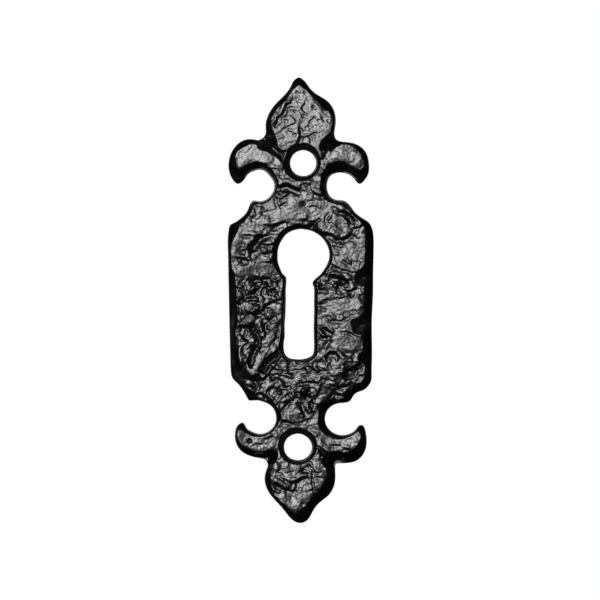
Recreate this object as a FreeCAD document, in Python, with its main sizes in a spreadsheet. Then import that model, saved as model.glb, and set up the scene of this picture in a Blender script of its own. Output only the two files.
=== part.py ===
import FreeCAD, Part
import os
import math
import Sketcher
from FreeCAD import Vector, Placement, Rotation

# Keyhole escutcheon: one black casting, about 85 mm tall, with a fleur at each
# end, two screw holes and a keyhole. +Z is up along its length, the face looks
# towards -Y, and the flat back lies on y = 0. The origin is on the axis of the
# keyhole's round, where a key's shank turns.

OUT = "parts"
os.makedirs(OUT, exist_ok=True)

doc = FreeCAD.newDocument("keyhole_escutcheon")

# ---------------------------------------------------------------- dimensions
sheet = doc.addObject("Spreadsheet::Sheet", "dims")
CELLS = [
    # alias, value, what it is (millimetres unless it says otherwise)
    ("wall_height", "1.2", "upright edge of the casting, from the back"),
    ("shoulder_low_height", "2.1", "rounded shoulder, lower station"),
    ("shoulder_low_inset", "0.134", "share of the way from outline to flat"),
    ("shoulder_high_height", "2.76", "rounded shoulder, upper station"),
    ("shoulder_high_inset", "0.5", "share of the way from outline to flat"),
    ("plate_thickness", "3.0", "back to the flat of the face"),
    ("key_round_radius", "4.94", "round of the keyhole"),
    ("key_slot_right", "2.07", "axis to the slot's right wall"),
    ("key_slot_left_top", "3.24", "axis to the slot's left wall, at the round"),
    ("key_slot_left_bottom", "3.68", "axis to the slot's left wall, at the foot"),
    ("key_slot_foot", "19.9", "axis to the foot of the slot"),
    ("key_corner_radius", "1.4", "corners at the foot of the slot"),
    ("key_edge_round", "0.8", "rounded front edge of the keyhole"),
    ("upper_hole_bore", "4.96", "upper screw hole, diameter"),
    ("upper_hole_dish", "6.7", "its dished mouth, diameter"),
    ("upper_hole_across", "0.01", "its centre, to the right of the axis"),
    ("upper_hole_up", "17.53", "its centre, above the axis"),
    ("lower_hole_bore", "5.16", "lower screw hole, diameter"),
    ("lower_hole_dish", "6.9", "its dished mouth, diameter"),
    ("lower_hole_across", "0.99", "its centre, to the left of the axis"),
    ("lower_hole_down", "36.69", "its centre, below the axis"),
    ("dish_angle", "90", "angle of both dished mouths, degrees"),
]
for row, (alias, value, note) in enumerate(CELLS, start=1):
    sheet.set("A%d" % row, alias.replace("_", " "))
    sheet.set("B%d" % row, value)
    sheet.set("C%d" % row, note)
    sheet.setAlias("B%d" % row, alias)
doc.recompute()


def dim(alias):
    return float(sheet.get(alias))


# ------------------------------------------------------------------ outlines
# The outline of the casting and the edge of its flat face, station by station
# and clockwise from the upper leaf's tip: (distance along the rim, outline x,
# outline z, flat x, flat z). Between a leaf and its curl the flat's edge runs
# in towards the screw hole, which makes the crease there. The last number is
# the distance once round the rim.
STRETCHES = [
    # upper leaf, right side
    [(0.00, -0.51, 33.80, -0.63, 32.13), (1.07, 0.47, 33.00, 0.02, 31.71),
     (2.12, 1.18, 32.01, 0.65, 31.15), (4.24, 2.84, 30.53, 2.11, 29.81),
     (6.36, 4.66, 29.36, 3.63, 28.42), (8.48, 5.94, 27.48, 4.87, 26.92),
     (10.60, 6.24, 25.26, 5.24, 25.02), (12.72, 5.99, 23.43, 4.48, 22.79),
     (14.82, 6.16, 22.32, 3.23, 20.18)],
    # upper curl on the right, outside
    [(15.89, 6.45, 21.98, 4.15, 18.77), (16.94, 6.84, 21.75, 5.41, 19.66),
     (19.06, 8.24, 21.56, 7.70, 20.99), (21.18, 10.28, 21.09, 9.72, 20.36),
     (23.30, 11.99, 19.57, 11.09, 19.03), (25.42, 12.61, 17.13, 11.69, 17.45),
     (26.47, 12.53, 15.74, 11.54, 16.76), (27.54, 11.88, 14.45, 11.06, 16.31)],
    # upper curl on the right, inside
    [(28.61, 10.77, 13.59, 10.40, 16.21), (29.66, 9.82, 14.46, 9.70, 16.50),
     (31.78, 7.98, 15.64, 8.01, 17.58), (33.90, 6.21, 15.63, 5.57, 17.50)],
    # upper bay on the right
    [(36.02, 4.94, 14.75, 3.71, 15.71), (38.13, 4.56, 13.16, 3.26, 13.21),
     (40.25, 4.95, 11.49, 3.81, 10.86), (42.37, 6.46, 10.51, 5.87, 9.76),
     (43.44, 7.51, 10.43, 6.94, 9.54)],
    # neck to panel, upper right
    [(44.49, 8.46, 9.95, 7.82, 9.08), (46.61, 9.83, 8.26, 9.26, 7.61),
     (48.73, 11.59, 6.88, 10.81, 6.36), (49.78, 12.54, 6.21, 11.37, 5.61)],
    # panel, right edge
    [(50.85, 13.14, 5.17, 11.71, 4.75), (52.97, 13.48, 2.90, 11.81, 2.83),
     (55.09, 13.47, 0.71, 11.78, 0.78), (59.33, 13.38, -3.53, 11.65, -3.45),
     (63.57, 13.34, -7.77, 11.55, -7.69), (67.79, 13.14, -11.99, 11.47, -11.91),
     (72.03, 13.14, -16.23, 11.43, -16.15), (76.27, 13.14, -20.48, 11.42, -20.37),
     (78.39, 13.09, -22.76, 11.37, -22.34)],
    # panel, lower right shoulder
    [(79.46, 13.01, -23.98, 11.20, -23.23), (80.51, 12.41, -25.04, 10.77, -23.99),
     (81.56, 11.52, -25.81, 10.09, -24.60), (82.63, 10.46, -26.21, 9.24, -25.12),
     (83.70, 9.61, -26.89, 8.39, -25.70), (84.75, 9.02, -27.81, 7.85, -26.53)],
    # lower bay on the right
    [(86.87, 6.92, -28.33, 6.28, -27.69), (88.97, 5.14, -29.11, 4.12, -28.19),
     (93.21, 4.36, -32.27, 2.97, -32.70), (97.45, 7.01, -34.38, 6.80, -35.22),
     (99.57, 8.99, -34.10, 8.93, -34.68), (100.62, 9.96, -33.43, 9.68, -34.19)],
    # lower curl on the right, outside
    [(101.69, 10.93, -32.48, 10.37, -33.74), (102.23, 11.55, -32.68, 10.66, -33.85),
     (102.76, 11.86, -33.34, 10.85, -34.15), (103.81, 12.11, -34.72, 10.87, -34.83),
     (105.94, 11.83, -37.37, 10.28, -36.29), (108.06, 10.24, -39.26, 8.96, -37.37),
     (110.17, 8.15, -39.74, 6.93, -37.67), (112.30, 6.68, -39.80, 4.27, -36.97)],
    # lower leaf, right side
    [(112.81, 6.46, -39.82, 3.58, -36.52), (113.35, 6.31, -39.91, 2.90, -36.83),
     (114.42, 6.15, -40.30, 3.32, -38.51), (118.64, 5.97, -43.88, 4.37, -43.09),
     (120.76, 4.88, -45.86, 3.22, -44.65), (122.88, 3.19, -47.25, 1.88, -46.19),
     (125.00, 1.82, -49.02, 0.62, -47.74), (127.12, 0.28, -50.99, -0.55, -48.94)],
    # lower leaf, left side
    [(128.17, -1.04, -51.11, -1.23, -49.19), (129.24, -2.22, -50.41, -1.95, -48.98),
     (131.36, -3.82, -48.52, -3.33, -47.88), (135.60, -6.69, -45.09, -5.74, -44.72),
     (137.72, -7.35, -42.94, -6.15, -42.80), (139.82, -6.99, -40.98, -5.92, -40.65),
     (140.89, -6.73, -40.21, -5.30, -39.49), (141.94, -6.90, -39.55, -4.79, -38.22)],
    # lower curl on the left, outside
    [(143.01, -7.36, -39.07, -5.65, -37.22), (144.06, -8.07, -38.85, -7.00, -37.35),
     (148.30, -11.86, -37.37, -11.11, -36.46), (150.42, -12.98, -35.26, -12.23, -35.11),
     (151.47, -12.99, -33.95, -12.41, -34.33), (152.54, -12.57, -32.64, -12.12, -33.63)],
    # lower curl on the left, inside
    [(153.61, -11.47, -32.06, -11.46, -33.63), (154.66, -10.75, -33.08, -10.71, -34.11),
     (155.71, -9.80, -33.72, -9.87, -34.50), (156.78, -8.80, -34.10, -8.83, -34.73)],
    # neck to panel, lower left
    [(161.02, -5.47, -32.50, -4.91, -32.71), (163.14, -5.19, -30.67, -4.15, -30.52),
     (165.26, -5.97, -28.99, -5.24, -28.50), (167.36, -7.68, -28.02, -7.14, -27.41),
     (168.43, -8.75, -27.78, -8.09, -26.95), (169.48, -9.86, -27.82, -8.95, -26.48)],
    # panel, lower left shoulder
    [(170.00, -10.38, -27.71, -9.36, -26.24), (170.53, -10.70, -27.24, -9.76, -25.97),
     (171.60, -11.27, -26.20, -10.48, -25.35), (173.72, -12.70, -24.34, -11.61, -23.86),
     (174.78, -13.49, -23.49, -11.95, -23.00), (175.84, -13.78, -22.35, -12.11, -22.05)],
    # panel, left edge
    [(177.97, -13.89, -20.12, -12.19, -20.05), (182.21, -14.00, -15.86, -12.31, -15.83),
     (186.45, -14.10, -11.63, -12.42, -11.59), (190.67, -14.18, -7.41, -12.60, -7.37),
     (194.91, -14.28, -3.17, -12.96, -3.15), (199.15, -14.37, 1.11, -13.22, 1.04),
     (201.27, -14.37, 3.37, -13.04, 3.01)],
    # panel, upper left shoulder
    [(202.32, -14.24, 4.52, -12.75, 3.91), (203.39, -13.94, 5.65, -12.34, 4.78),
     (204.46, -12.97, 6.25, -11.80, 5.59), (205.51, -12.07, 6.88, -11.12, 6.32),
     (207.63, -10.60, 8.51, -9.97, 7.98)],
    # upper bay on the left
    [(209.75, -9.49, 10.39, -8.93, 9.47), (210.80, -8.36, 10.26, -7.98, 9.71),
     (211.87, -7.31, 10.48, -7.00, 10.04)],
    # upper curl on the left, inside
    [(216.11, -5.54, 13.60, -4.69, 13.74), (218.21, -6.43, 15.15, -5.64, 15.87),
     (220.33, -7.81, 16.24, -7.47, 17.46), (222.45, -9.68, 15.94, -9.75, 17.53),
     (223.52, -10.60, 15.32, -10.67, 17.13), (224.57, -11.34, 14.29, -11.38, 16.65)],
    # upper curl on the left, outside
    [(225.62, -12.51, 13.60, -11.98, 16.38), (226.69, -13.61, 14.65, -12.54, 16.54),
     (228.81, -14.23, 17.48, -12.84, 17.80), (230.93, -13.50, 19.92, -12.54, 19.41),
     (233.05, -11.83, 21.66, -11.15, 20.53), (235.17, -9.73, 22.10, -9.18, 21.02),
     (236.24, -8.86, 21.94, -8.01, 20.56), (237.29, -8.26, 21.99, -6.70, 19.95),
     (238.34, -7.84, 22.21, -5.37, 19.05)],
    # upper leaf, left side
    [(238.88, -7.68, 22.33, -4.57, 18.60), (239.41, -7.55, 22.46, -4.12, 19.17),
     (240.46, -7.30, 22.82, -4.68, 20.74), (241.51, -7.12, 23.34, -5.05, 22.23),
     (243.63, -7.15, 25.01, -5.97, 24.60), (245.75, -6.50, 27.05, -5.63, 26.63),
     (247.88, -5.22, 28.87, -4.42, 28.21), (250.00, -3.69, 30.40, -3.04, 29.77),
     (252.12, -2.35, 32.24, -1.86, 31.28), (253.17, -1.73, 33.33, -1.30, 31.91)],
]
ROUND = 254.24


POINTS = [p for stretch in STRETCHES for p in stretch]
STATIONS = [p[0] for p in POINTS] + [ROUND]


def ring(share):
    """The closed outline at a share of the way from the edge to the flat.

    One smooth closed curve through all the points, cut at the stretches' ends.
    All rings have the same stations, so the shoulder between them is ruled
    straight across.
    """
    whole = Part.BSplineCurve()
    whole.interpolate(Points=[Vector(ox + (fx - ox) * share, oz + (fz - oz) * share, 0)
                              for _, ox, oz, fx, fz in POINTS],
                      Parameters=STATIONS, PeriodicFlag=True)
    curves = []
    first = 0
    for stretch in STRETCHES:
        last = first + len(stretch)
        c = whole.copy()
        c.segment(STATIONS[first], STATIONS[last])
        c.scaleKnotsToBounds(0.0, 1.0)
        curves.append(c)
        first = last
    return curves


# ------------------------------------------------------------------ the body
body = doc.addObject("PartDesign::Body", "escutcheon_plate")
body.Label = "escutcheon_plate"
doc.recompute()


def origin_plane(role):
    for feature in body.Origin.OriginFeatures:
        if feature.Role == role:
            return feature
    raise RuntimeError("no origin plane " + role)


FACE_PLANE = origin_plane("XZ_Plane")     # its normal points out of the face


def new_sketch(name, height):
    sketch = body.newObject("Sketcher::SketchObject", name)
    sketch.AttachmentSupport = [(FACE_PLANE, "")]
    sketch.MapMode = "FlatFace"
    if height:
        sketch.setExpression("AttachmentOffset.Base.z", "dims." + height)
    return sketch


def outline_sketch(name, share, height):
    sketch = new_sketch(name, height)
    for c in ring(share):
        sketch.addGeometry(c, False)
    count = len(STRETCHES)
    for i in range(count):
        sketch.addConstraint(
            Sketcher.Constraint("Coincident", i, 2, (i + 1) % count, 1))
    return sketch


back = outline_sketch("outline_at_back", 0.0, None)
wall = outline_sketch("outline_at_wall_top", 0.0, "wall_height")
low = outline_sketch("shoulder_low", dim("shoulder_low_inset"), "shoulder_low_height")
high = outline_sketch("shoulder_high", dim("shoulder_high_inset"), "shoulder_high_height")
flat = outline_sketch("flat_of_face", 1.0, "plate_thickness")
doc.recompute()

# The casting's mass: an upright wall, then a rounded shoulder up to the flat,
# with the creases between leaves and curls running in from the outline.
casting = body.newObject("PartDesign::AdditiveLoft", "casting")
casting.Profile = back
casting.Sections = [wall, low, high, flat]
casting.Ruled = True
casting.Closed = False
body.Tip = casting
doc.recompute()
solid_volume = casting.Shape.Volume


# ----------------------------------------------------------------- keyhole
# A round on the origin's axis, and a slot below it whose left wall leans out
# a little towards its foot.
def keyhole_sketch():
    sk = new_sketch("keyhole_outline", "plate_thickness")
    r = dim("key_round_radius")
    xr = dim("key_slot_right")
    xlt = -dim("key_slot_left_top")
    xlb = -dim("key_slot_left_bottom")
    foot = -dim("key_slot_foot")
    cr = dim("key_corner_radius")
    zr = -math.sqrt(r * r - xr * xr)
    zl = -math.sqrt(r * r - xlt * xlt)
    a_start = math.atan2(zr, xr)
    a_end = math.atan2(zl, xlt) + 2 * math.pi
    arc = Part.ArcOfCircle(Part.Circle(Vector(0, 0, 0), Vector(0, 0, 1), r),
                           a_start, a_end)
    sk.addGeometry(arc, False)                                        # 0
    sk.addGeometry(Part.LineSegment(Vector(xr, zr, 0),
                                    Vector(xr, foot + cr, 0)), False)  # 1
    right = Part.Circle(Vector(xr - cr, foot + cr, 0), Vector(0, 0, 1), cr)
    sk.addGeometry(Part.ArcOfCircle(right, -math.pi / 2, 0.0), False)  # 2
    sk.addGeometry(Part.LineSegment(Vector(xr - cr, foot, 0),
                                    Vector(xlb + cr, foot, 0)), False)  # 3
    left = Part.Circle(Vector(xlb + cr, foot + cr, 0), Vector(0, 0, 1), cr)
    sk.addGeometry(Part.ArcOfCircle(left, -math.pi, -math.pi / 2), False)  # 4
    sk.addGeometry(Part.LineSegment(Vector(xlb, foot + cr, 0),
                                    Vector(xlt, zl, 0)), False)        # 5
    con = Sketcher.Constraint
    sk.addConstraint([
        con("Coincident", 0, 3, -1, 1),
        con("Coincident", 0, 1, 1, 1),
        con("Coincident", 0, 2, 5, 2),
        con("Tangent", 1, 2, 2, 2),
        con("Tangent", 2, 1, 3, 1),
        con("Tangent", 3, 2, 4, 2),
        con("Tangent", 4, 1, 5, 1),
        con("Vertical", 1),
        con("Horizontal", 3),
        con("Equal", 2, 4),
    ])
    sizes = [
        ("round_radius", con("Radius", 0, r), "dims.key_round_radius"),
        ("slot_right", con("DistanceX", -1, 1, 1, 2, xr), "dims.key_slot_right"),
        ("slot_left_top", con("DistanceX", 5, 2, -1, 1, -xlt), "dims.key_slot_left_top"),
        ("slot_left_bottom", con("DistanceX", 5, 1, -1, 1, -xlb), "dims.key_slot_left_bottom"),
        ("slot_foot", con("DistanceY", 3, 1, -1, 1, -foot), "dims.key_slot_foot"),
        ("corner_radius", con("Radius", 2, cr), "dims.key_corner_radius"),
    ]
    for name, constraint, expression in sizes:
        i = sk.addConstraint(constraint)
        sk.renameConstraint(i, name)
        sk.setExpression("Constraints." + name, expression)
    return sk


keyhole = keyhole_sketch()
doc.recompute()
key_pocket = body.newObject("PartDesign::Pocket", "keyhole")
key_pocket.Profile = keyhole
key_pocket.Type = "ThroughAll"
key_pocket.Reversed = False
body.Tip = key_pocket
doc.recompute()
key_volume = key_pocket.Shape.Volume


def front_edges(shape, box):
    """Names of the edges that lie on the flat of the face inside a box in x, z."""
    y = -dim("plate_thickness")
    names = []
    for i, edge in enumerate(shape.Edges, start=1):
        b = edge.BoundBox
        if (abs(b.YMin - y) < 1e-4 and abs(b.YMax - y) < 1e-4
                and b.XMin > box[0] and b.XMax < box[1]
                and b.ZMin > box[2] and b.ZMax < box[3]):
            names.append("Edge%d" % i)
    return names


r0 = dim("key_round_radius")
key_edges = front_edges(key_pocket.Shape, (-r0 - 0.2, r0 + 0.2,
                                           -dim("key_slot_foot") - 0.2, r0 + 0.2))
key_round = body.newObject("PartDesign::Fillet", "keyhole_front_edge")
key_round.Base = (key_pocket, key_edges)
key_round.setExpression("Radius", "dims.key_edge_round")
body.Tip = key_round
doc.recompute()


# -------------------------------------------------------------- screw holes
def screw_hole(name, across, along, sign_x, sign_z, bore, dish):
    sk = new_sketch(name + "_centre", "plate_thickness")
    x = sign_x * dim(across)
    z = sign_z * dim(along)
    sk.addGeometry(Part.Circle(Vector(x, z, 0), Vector(0, 0, 1), dim(bore) / 2), False)
    con = Sketcher.Constraint
    if sign_x > 0:
        cx = con("DistanceX", -1, 1, 0, 3, abs(x))
    else:
        cx = con("DistanceX", 0, 3, -1, 1, abs(x))
    if sign_z > 0:
        cz = con("DistanceY", -1, 1, 0, 3, abs(z))
    else:
        cz = con("DistanceY", 0, 3, -1, 1, abs(z))
    for label, constraint, expression in (
            ("across", cx, "dims." + across),
            ("along", cz, "dims." + along),
            ("bore", con("Diameter", 0, dim(bore)), "dims." + bore)):
        i = sk.addConstraint(constraint)
        sk.renameConstraint(i, label)
        sk.setExpression("Constraints." + label, expression)
    doc.recompute()
    hole = body.newObject("PartDesign::Hole", name)
    hole.Profile = sk
    doc.recompute()
    hole.ThreadType = "None"
    hole.DepthType = "ThroughAll"
    hole.DrillPoint = "Flat"
    hole.HoleCutType = "Countersink"
    hole.HoleCutCustomValues = True
    hole.setExpression("Diameter", "dims." + bore)
    hole.setExpression("HoleCutDiameter", "dims." + dish)
    hole.setExpression("HoleCutCountersinkAngle", "dims.dish_angle")
    body.Tip = hole
    doc.recompute()
    return hole


before = body.Shape.Volume
upper_hole = screw_hole("upper_screw_hole", "upper_hole_across", "upper_hole_up",
                        1, 1, "upper_hole_bore", "upper_hole_dish")
mid = body.Shape.Volume
lower_hole = screw_hole("lower_screw_hole", "lower_hole_across", "lower_hole_down",
                        -1, -1, "lower_hole_bore", "lower_hole_dish")
after = body.Shape.Volume
doc.recompute()

# ------------------------------------------------------------------- checks
problems = []
for obj in doc.Objects:
    if "Invalid" in obj.State or "Error" in obj.State:
        problems.append("%s: %s" % (obj.Name, obj.State))
if problems:
    raise RuntimeError("failed features: " + "; ".join(problems))


def hole_volume(bore, dish):
    r, big, t = dim(bore) / 2, dim(dish) / 2, dim("plate_thickness")
    d = (big - r) / math.tan(math.radians(dim("dish_angle") / 2))
    cone = math.pi * d / 3 * (big * big + big * r + r * r)
    return math.pi * r * r * (t - d) + cone


for name, got, want in (
        ("upper screw hole", before - mid, hole_volume("upper_hole_bore", "upper_hole_dish")),
        ("lower screw hole", mid - after, hole_volume("lower_hole_bore", "lower_hole_dish"))):
    print("%s removes %.2f mm3, expected %.2f" % (name, got, want))
    if abs(got - want) > 0.03 * want:
        raise RuntimeError(name + " did not cut what it should")
print("keyhole removes %.1f mm3" % (solid_volume - key_volume))
if solid_volume - key_volume < 300:
    raise RuntimeError("the keyhole did not cut")

shape = body.Shape
if shape.isNull() or not shape.isValid():
    raise RuntimeError("the plate's shape is not valid")
if len(shape.Solids) != 1:
    raise RuntimeError("the plate is not one solid")
bb = shape.BoundBox
print("plate %.2f x %.2f x %.2f mm, volume %.1f mm3" % (
    bb.XLength, bb.YLength, bb.ZLength, shape.Volume))

shape.exportStep(os.path.join(OUT, "escutcheon_plate.step"))
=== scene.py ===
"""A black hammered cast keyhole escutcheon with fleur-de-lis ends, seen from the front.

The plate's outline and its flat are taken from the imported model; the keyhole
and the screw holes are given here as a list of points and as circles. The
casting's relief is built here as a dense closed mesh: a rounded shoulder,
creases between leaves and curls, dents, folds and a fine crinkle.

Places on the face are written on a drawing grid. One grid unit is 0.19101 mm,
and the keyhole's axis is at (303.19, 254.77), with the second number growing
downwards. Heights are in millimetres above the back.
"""

import math

import bpy
import numpy as np
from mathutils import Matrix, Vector, geometry, kdtree

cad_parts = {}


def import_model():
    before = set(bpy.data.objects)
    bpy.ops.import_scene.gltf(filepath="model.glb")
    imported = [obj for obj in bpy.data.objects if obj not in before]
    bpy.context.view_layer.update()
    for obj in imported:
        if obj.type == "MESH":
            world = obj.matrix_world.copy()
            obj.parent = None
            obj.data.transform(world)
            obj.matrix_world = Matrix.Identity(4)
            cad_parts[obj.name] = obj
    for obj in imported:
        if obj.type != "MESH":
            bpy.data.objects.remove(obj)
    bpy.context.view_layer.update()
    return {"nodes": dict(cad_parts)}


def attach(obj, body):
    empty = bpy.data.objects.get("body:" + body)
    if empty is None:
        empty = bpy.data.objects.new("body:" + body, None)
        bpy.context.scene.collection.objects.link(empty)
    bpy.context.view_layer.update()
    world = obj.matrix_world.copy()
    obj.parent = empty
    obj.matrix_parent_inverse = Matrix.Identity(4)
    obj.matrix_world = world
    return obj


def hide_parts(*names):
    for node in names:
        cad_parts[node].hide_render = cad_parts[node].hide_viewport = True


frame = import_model()

UNIT = 0.19101                    # mm in one grid unit
AXIS_X, AXIS_Y = 303.19, 254.77   # the keyhole's axis on the grid
STEP = 0.79                       # spacing of the face's points, grid units
TOP = 3.0                         # height of the flat
WALL = 1.2                        # height of the upright wall


def to_grid(p):
    """Points (x, z) in mm to grid units."""
    p = np.asarray(p, float)
    return np.stack([p[:, 0] / UNIT + AXIS_X, AXIS_Y - p[:, 1] / UNIT], axis=1)


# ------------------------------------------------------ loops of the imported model
def plane_loops(height):
    """Closed boundary loops of the model's faces at a height, in grid units."""
    mesh = frame["nodes"]["escutcheon_plate"].data
    mesh.calc_loop_triangles()
    co = np.empty(len(mesh.vertices) * 3)
    mesh.vertices.foreach_get("co", co)
    co = np.round(co.reshape(-1, 3) * 1000, 4)
    tri = np.empty(len(mesh.loop_triangles) * 3, dtype=np.int64)
    mesh.loop_triangles.foreach_get("vertices", tri)
    co, inverse = np.unique(co, axis=0, return_inverse=True)
    tri = inverse.reshape(-1)[tri.reshape(-1, 3)]
    flat = np.abs(co[:, 1] + height) < 1e-3
    count = {}
    for a, b, c in tri[flat[tri].all(axis=1)]:
        for p, q in ((a, b), (b, c), (c, a)):
            k = (min(p, q), max(p, q))
            count[k] = count.get(k, 0) + 1
    near = {}
    for (p, q), n in sorted(count.items()):
        if n == 1:
            near.setdefault(p, []).append(q)
            near.setdefault(q, []).append(p)
    loops, seen = [], set()
    for start in sorted(near):
        if start in seen:
            continue
        loop, here = [start], start
        seen.add(start)
        while True:
            after = [k for k in near[here] if k not in seen]
            if not after:
                break
            here = after[0]
            seen.add(here)
            loop.append(here)
        loops.append(to_grid(co[loop][:, [0, 2]]))
    return loops


def area(loop):
    x, y = loop[:, 0], loop[:, 1]
    return 0.5 * np.sum(x * np.roll(y, -1) - y * np.roll(x, -1))


def smooth_loop(points, step):
    """A closed curve through the points, resampled at an even spacing."""
    p = np.asarray(points, float)
    keep = np.linalg.norm(p - np.roll(p, 1, axis=0), axis=1) > 1e-4
    p = p[keep]
    a, b, c, d = np.roll(p, 1, 0), p, np.roll(p, -1, 0), np.roll(p, -2, 0)
    t01 = np.sqrt(np.linalg.norm(b - a, axis=1))[:, None]
    t12 = np.sqrt(np.linalg.norm(c - b, axis=1))[:, None]
    t23 = np.sqrt(np.linalg.norm(d - c, axis=1))[:, None]
    m1 = (c - b) + t12 * ((b - a) / t01 - (c - a) / (t01 + t12))
    m2 = (c - b) + t12 * ((d - c) / t23 - (d - b) / (t12 + t23))
    fine = []
    for s in np.arange(0, 1, 0.125):
        fine.append((2 * s**3 - 3 * s**2 + 1) * b + (s**3 - 2 * s**2 + s) * m1
                    + (-2 * s**3 + 3 * s**2) * c + (s**3 - s**2) * m2)
    fine = np.stack(fine, axis=1).reshape(-1, 2)
    closed = np.vstack([fine, fine[:1]])
    along = np.concatenate([[0], np.cumsum(np.linalg.norm(np.diff(closed, axis=0), axis=1))])
    n = max(12, int(round(along[-1] / step)))
    at = np.linspace(0, along[-1], n, endpoint=False)
    out = np.stack([np.interp(at, along, closed[:, 0]), np.interp(at, along, closed[:, 1])], axis=1)
    return out if area(out) > 0 else out[::-1].copy()


back_loops = sorted(plane_loops(0.0), key=lambda l: -abs(area(l)))
front_loops = sorted(plane_loops(TOP), key=lambda l: -abs(area(l)))
outline_raw, plateau_raw = back_loops[0], front_loops[0]

# The keyhole as cast: a burr where the slot meets the round on the right, a
# soft nub on the left, and a slot whose left wall leans out.
KEYHOLE = [
    (300.3, 228.9), (306.2, 229.5), (312.0, 230.9), (317.3, 233.7), (321.9, 237.4),
    (325.6, 242.2), (328.2, 247.5), (329.4, 253.3), (328.9, 259.3), (326.8, 264.8),
    (323.7, 269.9), (320.0, 274.6), (315.5, 278.5), (312.9, 281.6), (312.7, 284.2),
    (313.9, 287.0), (314.2, 292.0), (314.1, 301.0), (314.1, 313.0), (313.8, 325.0),
    (313.9, 337.0), (314.0, 348.9), (312.6, 354.7), (307.6, 357.7), (301.8, 359.1),
    (295.8, 359.0), (290.0, 358.1), (285.6, 354.5), (283.9, 348.8), (283.9, 342.8),
    (284.8, 336.9), (284.8, 325.0), (285.6, 313.0), (286.0, 301.1), (286.0, 289.1),
    (286.5, 281.5), (286.1, 277.0), (282.3, 272.7), (279.9, 267.2), (278.1, 261.6),
    (277.8, 255.6), (278.2, 249.6), (279.9, 244.0), (282.8, 238.7), (286.5, 234.1),
    (291.6, 231.0), (297.3, 229.3)]


def round_hole(cx, cy, rx, ry, wobble):
    t = np.linspace(0, 2 * math.pi, 72, endpoint=False)
    r = 1 + wobble * (0.6 * np.sin(3 * t + 0.7) + 0.4 * np.sin(5 * t + 2.1))
    return np.stack([cx + rx * r * np.cos(t), cy + ry * r * np.sin(t)], axis=1)


outline = smooth_loop(outline_raw, STEP)
keyhole = smooth_loop(KEYHOLE, STEP)
upper = smooth_loop(round_hole(303.25, 163.02, 12.98, 12.95, 0.006), STEP)
lower = smooth_loop(round_hole(298.02, 446.84, 13.9, 13.2, 0.008), STEP)
HOLES = [keyhole, upper, lower]


# ----------------------------------------------------------------- plan helpers
def inside(points, loop):
    """Whether each point lies inside a closed loop."""
    result = np.zeros(len(points), bool)
    a, b = loop, np.roll(loop, -1, axis=0)
    x, y = points[:, 0], points[:, 1]
    for (x1, y1), (x2, y2) in zip(a, b):
        if y1 == y2:
            continue
        lo_y, hi_y = (y1, y2) if y1 < y2 else (y2, y1)
        hit = (y >= lo_y) & (y < hi_y)
        hit[hit] = x[hit] < x1 + (y[hit] - y1) * (x2 - x1) / (y2 - y1)
        result ^= hit
    return result


def distance(points, loop):
    """Distance from each point to a closed loop."""
    return nearest(points, smooth_loop(loop, 0.15))


def nearest(points, targets):
    """Distance from each point to the nearest of the target points."""
    tree = kdtree.KDTree(len(targets))
    for i, (x, y) in enumerate(targets):
        tree.insert((x, y, 0.0), i)
    tree.balance()
    return np.array([tree.find((x, y, 0.0))[2] for x, y in points])


def path_offset(points, path):
    """Signed distance to an open line, positive on its lower right side, and how
    far along it (0 to 1) the nearest place is."""
    path = np.asarray(path, float)
    best = np.full(len(points), 1e9)
    signed = np.zeros(len(points))
    where = np.zeros(len(points))
    steps = np.diff(path, axis=0)
    seg = np.linalg.norm(steps, axis=1)
    start = np.concatenate([[0], np.cumsum(seg)])
    facing = np.sum(0.67 * steps[:, 0] - 0.74 * steps[:, 1])
    turn = 1.0 if facing > 0 else -1.0
    for i in range(len(path) - 1):
        a, ab = path[i], steps[i]
        side = turn * np.array([-ab[1], ab[0]]) / max(seg[i], 1e-9)
        t = np.clip(((points - a) @ ab) / max(ab @ ab, 1e-9), 0, 1)
        away = points - a - t[:, None] * ab
        d = np.linalg.norm(away, axis=1)
        near = d < best
        best[near] = d[near]
        signed[near] = (away @ side)[near]
        where[near] = (start[i] + t[near] * seg[i]) / max(start[-1], 1e-9)
    return best, signed, where


# ----------------------------------------------------------------------- noise
_rng = np.random.RandomState(11)
_perm = np.tile(_rng.permutation(512), 3)
_angle = _rng.uniform(0, 2 * math.pi, 512)
_even = _rng.uniform(-1, 1, 512)


def noise(x, y, scale, seed):
    """Smooth gradient noise, about -1 to 1, with features of size scale."""
    u, v = x / scale + 17.3 * seed, y / scale - 9.1 * seed
    i, j = np.floor(u).astype(int), np.floor(v).astype(int)
    fu, fv = u - i, v - j

    def corner(di, dj):
        h = _perm[_perm[(i + di + 31 * seed) % 512] + (j + dj) % 512]
        g = _angle[h % 512]
        return np.cos(g) * (fu - di) + np.sin(g) * (fv - dj)

    su = fu**3 * (fu * (6 * fu - 15) + 10)
    sv = fv**3 * (fv * (6 * fv - 15) + 10)
    top = corner(0, 0) * (1 - su) + corner(1, 0) * su
    bottom = corner(0, 1) * (1 - su) + corner(1, 1) * su
    return 1.5 * (top * (1 - sv) + bottom * sv)


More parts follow.
